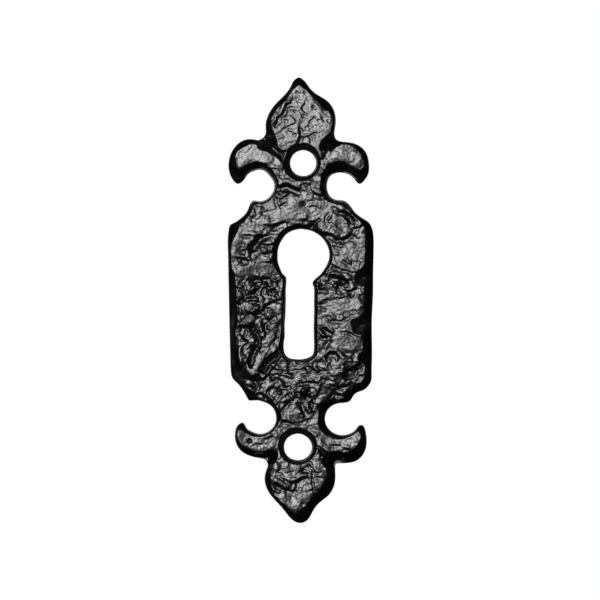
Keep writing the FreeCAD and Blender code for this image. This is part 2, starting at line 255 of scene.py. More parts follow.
def facets(x, y, size, stretch, angle, seed, deep):
    """A surface of small soft facets, each lying at its own angle, with creases
    between them. Slopes are about 1 for a facet that lies steeply. Where deep is 1
    the facets are flatter lumps with deeper creases."""
    ca, sa = math.cos(angle), math.sin(angle)
    u = (x * ca + y * sa) / (size * stretch) + 3.7 * seed
    v = (y * ca - x * sa) / size - 5.3 * seed
    i, j = np.floor(u).astype(int), np.floor(v).astype(int)
    near = np.full(len(x), 9.0)
    second = np.full(len(x), 9.0)
    total, weights = np.zeros(len(x)), np.zeros(len(x))
    for di in (-1, 0, 1):
        for dj in (-1, 0, 1):
            k = _perm[_perm[(i + di + 57 * seed) % 512] + (j + dj) % 512] % 512
            px = i + di + 0.5 + 0.38 * _even[k]
            py = j + dj + 0.5 + 0.38 * _even[(k + 101) % 512]
            du, dv = u - px, v - py
            d = np.hypot(du, dv)
            w = np.exp(-7.0 * d * d)
            lie = 1.5 * (_even[(k + 211) % 512] * du + _even[(k + 307) % 512] * dv)
            total += w * (lie + 0.35 * _even[(k + 401) % 512])
            weights += w
            closer = d < near
            second = np.where(closer, near, np.minimum(second, d))
            near = np.where(closer, d, near)
    crease = np.exp(-((second - near) / (0.24 + 0.20 * deep)) ** 2)
    crease *= 1 + deep * (0.75 + 1.3 * noise(x, y, 6.5, 30 + seed))
    return ((1 - 0.45 * deep) * total / weights - 0.30 * crease) * size * UNIT


def smoothstep(a, b, x):
    t = np.clip((x - a) / (b - a), 0, 1)
    return t * t * (3 - 2 * t)


def soft_min(a, b, k):
    h = np.clip(0.5 + 0.5 * (b - a) / k, 0, 1)
    return b * (1 - h) + a * h - k * h * (1 - h)


# ------------------------------------------------------------------- the relief
# Places where the black edge bites into the flat.
BITES = [
    [(367, 263), (360, 269), (355.5, 272.5), (353.5, 277.5), (355.5, 284), (361, 286.5), (367, 285)],
    [(368, 309), (357, 317.5), (350.5, 320), (351.5, 327.5), (353, 333), (358, 334.5), (368, 332)],
    [(226, 357), (235.5, 360.8), (241.5, 365), (246.5, 363.5), (247.5, 369.5), (252, 374),
     (260.5, 372.5), (262, 380), (260.5, 389), (256, 389.5), (249, 386.5), (243, 388), (226, 380)],
    [(300, 226), (304, 223.5), (310, 221.5), (315, 219.5), (319, 217.5), (323, 220.5),
     (319.5, 222.5), (318, 227), (323, 231.5), (318, 236), (304, 231)],
    [(318, 99), (321, 103), (322.5, 107), (326, 110.5), (331, 108), (325, 100)],
    [(262, 138), (272, 130), (275, 137), (277.8, 141), (278.3, 145.5), (282, 149.4), (289, 150.6),
     (286, 159), (282, 163), (278, 159.5), (273, 155.5), (266, 152), (258, 148)],
    [(340, 136), (326, 137.5), (321, 141), (319.5, 147), (321.5, 153.5), (325, 157.5),
     (329.5, 154.5), (333, 148.5), (340, 143)],
    [(315.5, 446), (318, 444.6), (325, 448.8), (331.6, 451.2), (341, 451.5), (345, 470), (330, 470),
     (325.5, 467.5), (321.5, 462.3), (319, 456), (318.3, 450), (317, 449.4)],
    [(372, 347.5), (362.8, 350.6), (359, 353.2), (357.2, 357), (358.4, 361), (361.8, 364.2),
     (372, 365.5)],
    [(336, 393), (329, 397.5), (322, 400.5), (316, 404), (313, 407.5), (317, 409.5), (317.5, 414),
     (319, 421), (336, 421)],
]

# Folds and cracks: (strength, half width, points). Each is a step that falls
# towards the lower right, by about 25 degrees at strength 1.
FOLDS = [
    # upper leaf
    (1.7, 1.4, [(291, 103.5), (286.5, 104.5), (284.7, 108.4), (283.2, 113.2), (280.5, 116.3),
                (277.9, 117.9), (277.7, 120.5), (274.7, 124.2), (272.3, 125.5)]),
    (1.0, 0.9, [(297, 98), (293.5, 99), (291.5, 101), (290, 104)]),
    (0.8, 0.8, [(272.6, 128.4), (277.4, 124.7), (283.2, 119.5), (287.4, 119.5), (288.4, 121.6)]),
    (0.9, 0.9, [(275.8, 134.9), (280, 132.1), (283.2, 128.4), (287.4, 127.4), (291.6, 124.7),
                (295.3, 123.7), (295.6, 120.5), (292.6, 117.9), (290, 116.3)]),
    (0.7, 0.8, [(284.7, 121.6), (285.3, 127)]),
    (1.5, 1.5, [(298.7, 127.9), (299.5, 133.2), (300, 137.4), (298.4, 140.5), (297.4, 143)]),
    (1.0, 0.9, [(287.4, 131.4), (292.6, 132.1), (294.7, 134.4), (297.9, 133.2)]),
    (1.0, 1.0, [(300.5, 136.6), (304.2, 137.6), (308.4, 136.3), (312.6, 133.7), (316, 133.2)]),
    (0.9, 0.9, [(308.4, 137.4), (310, 140.5), (309.5, 144)]),
    (1.0, 1.0, [(304.7, 103.8), (302.1, 106.8), (301.6, 110), (303.2, 112)]),
    (1.0, 0.9, [(302.1, 112.5), (303.7, 115.5), (306.3, 116.3)]),
    (1.1, 1.0, [(321.9, 117.9), (322.6, 121)]),
    (1.0, 0.9, [(313.9, 117.7), (311.1, 120.5), (308.5, 123)]),
    (0.8, 0.8, [(309, 126), (305.4, 127.6)]),
    (0.7, 0.8, [(279, 139), (283.4, 138.2)]),
    (0.6, 0.8, [(288, 142.8), (293, 142)]),
    (0.7, 0.8, [(297, 92.3), (300.4, 93.6)]),
    (0.7, 0.8, [(303.2, 92), (305.6, 95)]),
    (0.7, 0.8, [(297, 101.6), (301.4, 100.2)]),
    (0.6, 0.8, [(284.7, 110.5), (292, 110.4)]),
    (0.6, 0.8, [(293.5, 110), (297, 112.4)]),
    (0.6, 0.8, [(317, 125), (322, 127.5)]),
    # neck
    (1.7, 2.3, [(277.5, 187), (283.1, 185.3), (288.4, 184.9), (292.6, 187.4), (296.8, 189.5), (302, 190)]),
    (1.2, 1.7, [(299.4, 185.5), (304.2, 184.2), (311, 184.2)]),
    (1.0, 0.9, [(311, 188.5), (312.6, 191.6), (315.4, 190.3)]),
    (1.6, 1.8, [(313.7, 193.0), (318.9, 195.3), (323, 195.5)]),
    (1.3, 1.3, [(275.6, 196), (278.4, 197.9), (282.1, 199.5), (284.2, 196.8), (288.6, 195.2)]),
    (1.2, 1.3, [(275.8, 196.6), (277.2, 201.6), (278.9, 206.3), (283.1, 203.7), (287.6, 200.3)]),
    (0.9, 1.0, [(309.2, 207), (312.6, 205.7), (316.8, 206.6), (319.8, 209.2)]),
    (0.7, 0.8, [(309.2, 210.3), (312.6, 211.8), (316.5, 210.4)]),
    (0.8, 0.9, [(308, 200.6), (315, 200)]),
    (0.8, 0.9, [(254.6, 206.4), (255.4, 213.6)]),
    (0.7, 1.0, [(252.8, 215), (251.4, 222)]),
    (0.8, 1.0, [(242.4, 222.6), (241.8, 225.8)]),
    (0.8, 1.0, [(280.3, 175.6), (283.4, 177.6)]),
    (0.8, 0.9, [(286, 172.8), (288.6, 175.5)]),
    (0.9, 1.0, [(320.6, 175.6), (325.6, 174.0)]),
    (0.9, 0.9, [(267.6, 163.4), (270.8, 165.6)]),
    # above the keyhole
    (1.0, 1.8, [(274, 226.5), (277, 224.4), (281, 223.0), (286, 222)]),
    (1.2, 1.5, [(302, 220.2), (307, 219.6)]),
    (1.1, 1.2, [(330, 215.6), (327.6, 218.2), (327.3, 221), (330, 219.8), (331.5, 216.6)]),
    (0.9, 0.9, [(334, 207.2), (337.4, 208)]),
    (1.3, 2.0, [(338.5, 210), (346.3, 212.4), (350.5, 215.6), (354, 219)]),
    (1.3, 1.8, [(344.5, 216.4), (348.6, 219.4), (349, 224)]),
    (1.1, 1.2, [(353.5, 227.6), (358.5, 227.4), (362, 225.4)]),
    (0.9, 1.0, [(332, 225.5), (335.5, 229.5), (340, 231.5)]),
    (0.8, 0.9, [(330.5, 229.5), (334, 232.5)]),
    # right of the keyhole's round
    (1.5, 2.0, [(324.5, 233.5), (331.5, 235), (335.8, 237.8), (342.1, 238.7), (348.4, 236.6), (351.5, 232)]),
    (1.0, 1.0, [(353.4, 235.6), (358, 238)]),
    (1.1, 1.2, [(334.4, 245.8), (342.4, 247.6)]),
    (0.9, 1.1, [(334.3, 254.8), (338.4, 255.6)]),
    (1.2, 1.1, [(342.3, 259.4), (346.3, 261.8), (351, 265)]),
    (1.1, 1.1, [(351, 260.8), (351.4, 266)]),
    (1.0, 1.2, [(331.5, 263.7), (336.8, 267.1), (342.1, 269.2), (349.4, 271.3), (356, 272.6)]),
    (1.5, 2.1, [(328, 275.2), (332.6, 275.7), (337.9, 276.8), (344.2, 278.9), (348, 282.4)]),
    (1.0, 1.3, [(325.6, 281), (332, 280.6)]),
    (1.1, 1.3, [(317.4, 285.5), (325.8, 285.5)]),
    (1.2, 1.3, [(340.6, 289), (345.2, 290.3), (350.5, 290.3), (356, 288)]),
    (1.1, 1.0, [(333.4, 293), (337.9, 297.6), (341.4, 297.6)]),
    (0.9, 0.9, [(324, 299.4), (327.6, 298.6)]),
    (1.1, 1.3, [(324.8, 316.2), (329.4, 314.5), (332, 319.4)]),
    (1.2, 1.4, [(333.2, 319.4), (341, 320.3), (345, 318)]),
    (0.9, 1.0, [(331.2, 328.2), (339.4, 327.2)]),
    (1.2, 1.4, [(323, 326), (328, 329.5), (334, 333.5)]),
    (0.6, 3.0, [(279.5, 322), (276.5, 330), (273.5, 338), (270, 343)]),
    (1.1, 1.4, [(347.8, 331.4), (356, 334.7)]),
    (1.1, 1.1, [(317.6, 331.2), (321, 334.7), (325.6, 338.2)]),
    (0.9, 1.0, [(318, 341), (322, 344), (326, 343)]),
    (1.5, 2.0, [(326, 355.2), (330.5, 352.1), (335.8, 352.6), (340.6, 358)]),
    (0.9, 2.4, [(344.6, 351.4), (355.5, 353)]),
    (0.9, 2.3, [(366.5, 359.5), (360.5, 363), (354, 367.5), (346, 372), (340, 377)]),
    # left of the keyhole
    (1.5, 2.6, [(260.5, 235), (256, 240.5), (250.8, 245.5), (250.5, 251.5)]),
    (1.2, 1.5, [(246, 235.6), (251.6, 235), (257.9, 235), (263.1, 236.8), (269.5, 233.9), (273.4, 234.6)]),
    (1.1, 1.3, [(261.6, 244.3), (267.4, 245.2), (273.5, 244.3)]),
    (1.1, 1.2, [(261.8, 249.8), (263.1, 253.1), (266.8, 252.3)]),
    (1.2, 1.6, [(237.4, 257.2), (241, 257.6), (245.3, 259.7), (251, 261)]),
    (0.8, 0.9, [(259.6, 262), (265.3, 261.3), (271, 261.8)]),
    (1.3, 1.6, [(255.4, 276.2), (260, 279.2), (264.2, 277.6), (269.5, 278.7), (274.2, 282.2)]),
    (1.5, 2.2, [(249.2, 293.8), (253, 291.6), (258.3, 288)]),
    (1.4, 1.8, [(237, 303.2), (239.4, 300.5), (242.4, 298.2)]),
    (1.2, 1.2, [(262.3, 281.2), (262.1, 288.2), (261, 293.4), (264.4, 298)]),
    (1.1, 1.2, [(266.8, 284.4), (270.8, 288.4), (271.4, 292.4)]),
    (1.1, 1.3, [(248.1, 300.9), (254.7, 300.1), (259.4, 302)]),
    (1.2, 1.4, [(261.6, 306.4), (267.4, 305), (271, 302.4)]),
    (1.3, 1.2, [(275.4, 300.4), (281.6, 300.2)]),
    (1.0, 1.2, [(238, 287), (243, 289.5), (246.5, 294)]),
    (1.4, 2.2, [(244.8, 311.4), (254.7, 312.8), (262.6, 311.4)]),
    (1.2, 1.8, [(264.8, 317.7), (270.5, 318.9), (276.2, 315.4)]),
    (1.3, 2.0, [(238.4, 324), (247.4, 326.5), (253, 322.8)]),
    (1.3, 2.0, [(261.8, 323.8), (264.2, 330.5), (266.8, 335)]),
    (1.0, 1.2, [(238.6, 333.6), (243, 336), (244, 341)]),
    # below the keyhole
    (1.5, 1.3, [(309.2, 365), (313.7, 368.4), (317.9, 370.7), (323.4, 368.7)]),
    (1.2, 1.0, [(326, 358.4), (328.4, 363.2), (327.3, 367.4), (329.6, 370)]),
    (1.1, 1.0, [(331.8, 358.4), (329.8, 363.2), (331.9, 367.8)]),
    (1.1, 1.0, [(304, 367), (307.3, 371.6), (311, 372.8)]),
    (1.0, 1.0, [(293.2, 368.2), (300, 369.7), (304, 367)]),
    (1.2, 1.2, [(287.2, 367), (288.4, 372.6), (293, 374)]),
    (1.2, 1.3, [(278.4, 373.4), (285.3, 375.8), (290, 378.2)]),
    (1.4, 1.3, [(301.6, 382.4), (310.5, 381.4), (319.4, 382.2)]),
    (1.4, 2.1, [(293.2, 391), (300, 390.6), (304.2, 395.2), (307.3, 392.9), (309.8, 398.8)]),
    (1.2, 1.6, [(298.4, 395.8), (292.6, 398.2), (287.4, 401.3), (285, 406)]),
    (1.3, 1.5, [(309.4, 399.8), (309.2, 406.6), (311.8, 410)]),
    (1.2, 1.1, [(300.8, 407), (302.1, 411.8), (304.4, 417.6)]),
    (1.0, 1.1, [(297.5, 421.5), (304.2, 420.3), (310, 418)]),
    (1.2, 1.5, [(282.6, 420), (289.5, 421.3), (294.2, 423.6)]),
    (1.1, 1.0, [(309.2, 412), (314.7, 410.6), (318.4, 412)]),
    (1.1, 1.8, [(257.4, 391.4), (264.2, 395), (271, 399.6)]),
    (1.2, 1.4, [(276.4, 376.8), (283.1, 381.3), (285.6, 387)]),
    (1.1, 1.3, [(283.5, 388), (289, 390.6), (294, 396)]),
    (0.8, 0.8, [(321, 376.6), (321, 386)]),
    (1.1, 1.1, [(331, 388.4), (337.2, 390)]),
    (1.2, 1.2, [(335.2, 393.7), (343.6, 394.6)]),
    (1.1, 1.4, [(331, 384.2), (338.9, 386.6), (345.2, 384.7), (353, 381)]),
    (1.1, 1.5, [(318, 407), (325.6, 404.2)]),
    # lower curls
    (0.9, 0.9, [(252.3, 444.9), (255.8, 442.4), (260.6, 443.6)]),
    (0.8, 1.0, [(265, 438.4), (273, 434.8)]),
    (1.2, 1.2, [(331.2, 443.8), (339.4, 444.6)]),
    (0.9, 1.6, [(344, 447), (349, 449)]),
    # lower leaf
    (0.8, 0.9, [(277.2, 470.9), (281, 467.4), (285.6, 467.9)]),
    (1.0, 1.1, [(287, 471.2), (293, 470.4)]),
    (1.3, 1.3, [(298.6, 470.4), (303.6, 468.8)]),
    (1.5, 1.7, [(292.2, 480.8), (297.9, 480), (302.1, 476.8), (309, 475.6)]),
    (1.1, 1.5, [(278.6, 474.4), (285.3, 478.9), (292, 482.4)]),
    (1.5, 2.2, [(273.4, 481.8), (278.9, 484.2), (284.2, 486.8), (290, 488.2)]),
    (1.2, 1.2, [(296.8, 480.6), (295.8, 486.3), (293.5, 491)]),
    (1.0, 1.1, [(270.2, 485), (274.7, 490.5), (280.4, 492.8)]),
    (1.0, 0.9, [(312.8, 467), (311.6, 474.7), (311.6, 482.1), (312.8, 490)]),
    (1.1, 1.1, [(309.2, 462.8), (314.7, 470.5), (319.4, 471.8)]),
    (1.1, 1.1, [(314.4, 476.4), (320.4, 475.7)]),
]

# Dents: (depth mm, radius, x, y)
DENTS = [
    (0.22, 1.7, 303.7, 204.2), (0.28, 1.7, 249.6, 440.3), (0.16, 1.6, 351.6, 295.8),
    (0.06, 2.8, 302.6, 123.7), (0.14, 1.8, 302.6, 503.2), (0.16, 5.0, 292.6, 498),
    (0.10, 2.4, 251.6, 220), (0.12, 2.2, 328, 300.5), (0.10, 2.6, 292.6, 417.6),
    (0.22, 5.2, 255.5, 244.5), (0.16, 3.2, 348.5, 219.0), (0.15, 7.0, 340, 225), (0.12, 1.4, 241.7, 225),
    (0.20, 1.6, 262.8, 208.6), (0.12, 1.5, 313.4, 107.4), (0.10, 1.3, 316.1, 108.9),
    (0.09, 1.2, 309.9, 121.4), (0.09, 1.2, 314.8, 117.5), (0.10, 1.3, 321.8, 119.3),
    (0.08, 1.1, 318.3, 120.4), (0.08, 1.2, 304.3, 115.2), (0.08, 1.1, 294.5, 111.6),
    (0.08, 1.1, 289.9, 110.9), (0.07, 1.1, 286.8, 112.8), (0.08, 1.2, 297.0, 92.7),
    (0.08, 1.1, 304.4, 93.5), (0.09, 1.2, 293.4, 97.6), (0.08, 1.1, 299.4, 100.2),
    (0.09, 1.2, 309.0, 126.4), (0.08, 1.1, 305.6, 127.4), (0.08, 1.2, 328.0, 120.6),
    (0.08, 1.2, 314.1, 133.2), (0.09, 1.1, 334.6, 246.6), (0.10, 1.2, 351.2, 262.0),
]

# Gullies with straight sloping sides: (depth mm, half width, points)
GULLIES = [
    (0.60, 5.4, [(252.5, 328), (260, 337), (260.5, 344), (256.5, 350.5), (253, 357), (252.5, 364)]),
    (0.62, 6.8, [(284, 351), (278, 357), (270, 363), (264.5, 370)]),
]

# Broad leanings of the skin: (x, y, radius, rise to the right, rise downwards)
LEANS = [
    (268, 227, 8, -0.05, -0.08), (352, 160, 12, -0.06, -0.06), (283, 172, 9, -0.06, -0.06),
    (245, 320, 20, -0.08, -0.08), (345, 345, 18, -0.02, -0.03), (335, 380, 18, -0.08, -0.10),
    (270, 436, 9, -0.03, -0.05), (302, 402, 22, -0.05, -0.05),
    # upper curls and neck
    (357, 153, 11, 0.08, 0.06), (237, 153, 8, -0.06, -0.04), (290, 196, 12, 0.045, 0.045),
    (328, 207, 10, 0.04, 0.04), (310, 184, 9, 0.045, 0.045), (298, 214, 10, -0.07, -0.08),
    (283, 219, 9, -0.05, -0.05), (280, 148, 8, -0.06, -0.06),
    # panel, left of the keyhole
    (238, 259, 12, -0.09, -0.08), (239, 242, 10, -0.09, -0.08), (249, 269, 9, -0.07, -0.07),
    (256, 226, 10, -0.07, -0.08), (275, 328, 10, -0.10, -0.09),
    (274, 292, 9, 0.06, 0.06), (264, 301, 11, -0.07, -0.07), (238, 327, 12, -0.14, -0.06),
    (268, 352, 8, -0.05, -0.05), (244, 353, 9, -0.06, -0.05), (243, 377, 9, -0.14, -0.08),
    # panel, right of the keyhole
    (330, 293, 12, 0.05, 0.045), (342, 232, 10, -0.08, -0.09), (328, 232, 8, -0.07, -0.08),
    (357, 256, 10, 0.05, 0.03), (340, 334, 9, -0.05, -0.05), (322, 349, 9, -0.08, -0.07),
    (331, 366, 11, 0.05, 0.05), (357, 377, 9, -0.07, -0.06),
    # lower neck, curls and leaf
    (301, 396, 9, -0.12, -0.10), (296, 425, 9, -0.07, -0.08), (322, 436, 9, 0.05, 0.05),
    (268, 437, 8, -0.05, -0.05), (245, 437, 9, 0.03, 0.03), (310, 478, 9, 0.04, 0.04),
    (291, 478, 8, -0.07, -0.06), (298, 502, 9, -0.05, -0.04), (284, 381, 9, -0.06, -0.06),
    (286, 365, 8, -0.05, -0.05), (262, 382, 8, -0.06, -0.05),
]

# Slabs that lie at an angle: (x, y, half width, half height, rise to the right
# and downwards)
SLABS = [
    (258, 272, 24, 8.5, -0.060, -0.070), (241.5, 246, 8.5, 9.0, -0.060, -0.065),
    (268, 345, 9, 9, 0.030, 0.015), (258, 360, 8, 12, 0.050, 0.025),
    (268, 228, 7, 6, -0.080, -0.100), (250, 222, 15, 9, -0.012, -0.016),
    (281, 230.4, 8, 3.8, 0.030, 0.045), (267.5, 240.4, 8, 3.6, 0.025, 0.045),
    (342, 305, 22, 6, 0.030, 0.020), (348, 343, 13, 9, -0.020, -0.045),
    (291, 412, 8, 7, 0.030, 0.020), (286, 215, 22, 7, 0.015, 0.020),
    (312, 203, 12, 7, 0.020, -0.030), (283, 173, 8, 7, -0.040, -0.030),
    (246, 159, 24, 18, 0.020, 0.020), (345, 158, 20, 14, 0.016, 0.015),
    (362, 168, 8, 9, -0.040, -0.040), (300, 118, 40, 40, 0.014, 0.014),
    (344, 256, 13, 12, 0.020, 0.015), (246, 341, 7, 9, 0.020, 0.010),
    (297, 482, 6, 5, -0.050, -0.050), (282, 477, 6, 5, -0.045, -0.045),
    (297, 500, 13, 10, 0.015, 0.010), (345, 441, 22, 11, 0.040, 0.030), (250, 441, 26, 17, 0.035, 0.030),
    (238, 318, 7, 16, -0.12, -0.04),
    (355, 225, 6, 5, 0.02, 0.01),
    (359, 233, 6, 5, 0.02, 0.01), (250, 247, 6, 5, -0.12, -0.16), (291, 391, 10, 6, -0.13, -0.13), (306, 400, 7, 13, -0.09, -0.06), (280, 407, 6, 8, -0.09, -0.06),
    (313, 408, 6, 8, -0.12, -0.04), (349, 371, 8, 7, -0.05, -0.09),
    (303, 396, 8, 5, -0.12, -0.12), (328, 232, 7, 5, -0.12, -0.12), (352, 364, 16, 10, -0.04, -0.07), (240, 296, 6, 6, -0.12, -0.06),
]

# Large parts of the plate that aren't quite level: (x, y, rise to the right and
# downwards, lowering in mm, and where the part fades in and out across and down)
PARTS = [
    (236, 300, -0.038, -0.008, 0.05, (190, 200, 290, 314), (240, 268, 360, 400)),
    (300, 372, -0.012, -0.045, 0.05, (235, 252, 350, 372), (350, 366, 410, 480)),
    (346, 320, 0.003, 0.000, 0.02, (308, 318, 400, 410), (290, 310, 366, 390)),
]

# Small lens-shaped bumps: (height mm, half width, from x, y, to x, y)
LENSES = [
    (0.05, 2.4, 263, 241.4, 273, 240.2), (0.05, 2.4, 276, 233.2, 285.5, 229.0),
    (0.08, 2.2, 238, 262.4, 244, 262.6), (0.10, 1.7, 253, 252.5, 256, 258),
    (0.10, 4.5, 270, 342, 256, 367), (0.10, 2.0, 252.5, 321.8, 254.5, 323),
    (0.10, 1.7, 256, 328.6, 259, 331.6), (0.12, 2.6, 240, 347, 247, 342),
    (0.14, 2.4, 238.5, 351.5, 241, 361), (0.10, 2.0, 266, 311.5, 269.5, 315.5),
    (0.10, 2.4, 272, 312, 279, 309), (0.12, 2.6, 252, 305, 258, 308.5),
    (0.10, 2.1, 243, 287.5, 251, 289), (0.09, 1.7, 264, 286, 268, 283),
    (0.10, 2.0, 270, 288, 275, 285.5), (0.10, 2.0, 273, 297, 279, 289),
    (0.28, 2.1, 324.9, 152.0, 325.3, 152.2), (0.30, 1.0, 315.5, 147.5, 321.5, 158),
    (0.30, 1.2, 322.8, 456.4, 323.2, 456.8),
    (0.30, 1.0, 327.6, 460.6, 329.8, 462.6),
    (0.10, 1.8, 352, 238.4, 356, 232.5), (0.09, 1.8, 333, 234, 340, 232.5),
    (0.10, 2.0, 334, 272, 341, 270), (0.09, 1.5, 331, 273.4, 333.4, 273.8),
    (0.09, 1.6, 347, 290, 352, 288.4), (0.09, 1.6, 331, 295.6, 336, 296.2),
    (0.10, 2.2, 330, 285.5, 338, 284), (0.09, 1.8, 318, 291, 327, 292.5),
]

# Deep valleys that run down to the outline: (x, y, half width, half height)
VALLEYS = [
    (271, 149, 15, 13), (328, 146, 13, 13), (268, 457, 13, 11), (328, 457, 15, 13),
]

# Stretches where the flat bends down softly before its edge
SOFT = [
    (318, 492, 20, 24), (290, 512, 24, 9), (366, 347, 9, 12),
    (345, 160, 22, 14), (243, 168, 16, 10), (350, 452, 20, 12), (322, 103, 8, 10),
    (243, 340, 12, 40), (258, 452, 20, 8), (268, 388, 24, 10), (345, 392, 22, 12),
]

# Calm and wild areas of the skin: (x, y, half width, half height)
CALM = [
    (300, 118, 32, 40), (250, 155, 28, 20), (352, 155, 30, 20), (268, 271, 14, 8),
    (241, 246, 9, 9), (297, 500, 16, 12), (341, 225, 10, 9), (356, 226, 9, 9), (266, 347, 5, 5),
    (256, 362, 5, 7), (344, 258, 14, 14), (246, 226, 10, 8), (243, 372, 16, 12),
    (343, 304, 22, 7), (288, 196, 9, 6), (333, 364, 8, 7), (281, 230, 9, 4.5), (267, 240.5, 10, 4), (256, 272, 25, 10), (348, 343, 16, 10), (291, 412, 8, 7), (250, 441, 25, 13), (343, 440, 28, 11),
    (300, 205, 34, 18),
]
WILD = [
    (257, 300, 26, 24), (255, 328, 26, 22), (294, 374, 36, 14), (300, 395, 40, 16),
    (333, 280, 15, 11), (322, 338, 10, 12), (352, 372, 12, 10),
]


def areas(x, y, listed):
    total = np.zeros(len(x))
    for cx, cy, a, b in listed:
        r = np.hypot((x - cx) / a, (y - cy) / b)
        total = np.maximum(total, smoothstep(1.25, 0.75, r))
    return total


def crinkle(x, y):
    """The crinkled skin of the casting, in mm, about zero."""
    wx = x + 1.3 * noise(x, y, 7.0, 3)
    wy = y + 1.3 * noise(x, y, 7.0, 5)
    calm, wild = areas(x, y, CALM), areas(x, y, WILD)
    crumple = 0.095 + 0.120 * wild - 0.070 * calm * (1 - wild)
    crumple = crumple * (0.65 + 0.65 * smoothstep(-0.45, 0.45, noise(x, y, 12.0, 23)))
    across = facets(wx, wy, 4.7, 1.7, -0.12, 2, wild)
    along = facets(wx, wy, 5.2, 1.4, 2.2, 6, wild)
    side = smoothstep(292, 276, x) * smoothstep(268, 286, y)
    h = crumple * (across * (1 - side) + along * side)
    h += (1.15 - 0.4 * wild) * crumple * noise(x, y, 8.5, 7)
    h += 0.080 * noise(x, y, 19.0, 10)
    h += (0.030 - 0.024 * wild) * noise(x, y, 2.6, 13)
    return h


def base_height(points, d_out, d_key, d_up, d_low):
    """Height of the shoulder, the bites and the edges of the holes."""
    x, y = points[:, 0], points[:, 1]
    warped = points + 0.5 * np.stack([noise(x, y, 6.0, 1), noise(x, y, 6.0, 2)], axis=1)
    flat_edge = smooth_loop(plateau_raw, 0.3)
    flat_edge[:, 0] += 1.7 * areas(flat_edge[:, 0], flat_edge[:, 1], [(330, 123, 6, 15)])
    flat_edge[:, 0] -= 2.6 * areas(flat_edge[:, 0], flat_edge[:, 1], [(232, 256, 9, 17)])
    on_flat = inside(warped, flat_edge)
    cut = np.zeros(len(flat_edge), bool)
    pieces = []
    for bite in BITES:
        loop = smooth_loop(np.array(bite, float), 0.3)
        cut |= inside(flat_edge, loop)
        pieces.append(loop[inside(loop, flat_edge)])
        on_flat &= ~inside(warped, loop)
    edge_points = np.vstack([flat_edge[~cut]] + pieces)
    d_flat = nearest(warped, edge_points)
    soft = areas(x, y, SOFT) * np.where(on_flat, np.clip(1 - d_flat / 7.0, 0, 1) ** 2, 1.0)
    d_flat[on_flat] = 0.0
    # shoulder: a ramp that starts sharply at the flat's edge and rolls over
    # to the upright wall at the outline
    drop = d_flat * UNIT
    width = np.minimum(1.75, (d_out + d_flat) * UNIT)
    share = np.clip(d_out * UNIT / np.maximum(width, 1e-6), 0, 1)
    roll = WALL + (TOP - WALL) * np.sqrt(np.clip(1 - (1 - share) ** 2, 0, 1))
    valley = areas(x, y, VALLEYS)
    steep = np.clip(1.6 / np.maximum((d_out + d_flat) * UNIT, 0.1), 0.50, 0.78)
    drop = steep * drop + (0.40 * valley * np.clip(14 - d_out, 0, None) * UNIT
                           * smoothstep(0.0, 2.5, d_flat))
    h = soft_min(TOP - drop - 0.16 * soft, roll, 0.12)
    # a thin lip along the upper bays
    for cx, cy in ((257.5, 184.0), (345.0, 187.0)):
        r = np.hypot(x - cx, y - cy)
        bay = smoothstep(25.0, 21.0, r)
        ledge = np.interp(d_out, [0, 0.16, 1.55, 2.2, 3.2], [1.30, 1.50, 1.52, 2.1, 3.2])
        h = h * (1 - bay) + np.minimum(h, ledge) * bay
    skin = 0.12 + 0.88 * smoothstep(2.4, 0.0, d_flat)

    # keyhole edge: wide and soft at the left and top, tighter at the right
    ang = np.arctan2(y - 254.8, x - 303.2)
    wide = 5.2 - 1.5 * np.cos(ang - 0.5)
    slot = smoothstep(270, 282, y)
    run = np.interp(y, [282, 312, 325, 348, 356, 362], [3.9, 3.9, 5.4, 7.4, 5.0, 3.8])
    run = np.where(x < 296, run, 4.0)
    wide = wide * (1 - slot) + run * slot
    k = np.clip(d_key / wide, 0, 1)
    edge = TOP - 1.15 * (1 - np.sqrt(np.clip(1 - (1 - k) ** 2, 0, 1))) - 0.36 * (1 - k)
    lip = np.interp(d_key, [0, 0.3, 1.1, 2.0], [1.25, 1.50, 1.55, 3.2])
    left = smoothstep(300, 310, y) * smoothstep(292, 286, x)
    foot = smoothstep(354, 357, y) * smoothstep(315, 309, x)
    side = np.maximum(left, foot)
    edge = edge * (1 - side) + np.minimum(edge, lip) * side
    h = soft_min(h, edge, 0.05)
    skin *= smoothstep(-0.5, 1.5, d_key - wide + 1.5)

    # screw holes: a countersink with a small lip near the bore
    for cx, cy, d, ring, lean, way in ((303.25, 163.02, d_up, 6.0, 1.6, 0.5),
                                       (298.02, 446.84, d_low, 5.5, 1.8, 1.4)):
        a = np.arctan2(y - cy, x - cx)
        wid = ring - lean * np.cos(a - way)
        open_ = smoothstep(-0.7, 0.1, np.cos(a - 0.8))
        lip = (np.interp(d, [0, 0.25, 0.46, 1.75], [1.35, 1.90, 2.02, 2.06]) * open_
               + np.interp(d, [0, 0.5, 1.75], [1.35, 1.66, 2.06]) * (1 - open_))
        cone = 2.06 + (TOP - 2.06) * np.clip((d - 1.75) / np.maximum(wid - 1.75, 0.5), 0, 1.4)
        dish = np.where(d < 1.75, lip, cone)
        h = soft_min(h, dish, 0.06)
        skin *= smoothstep(-0.5, 1.5, d - wid + 0.8)

    return h, np.clip(skin, 0, 1)


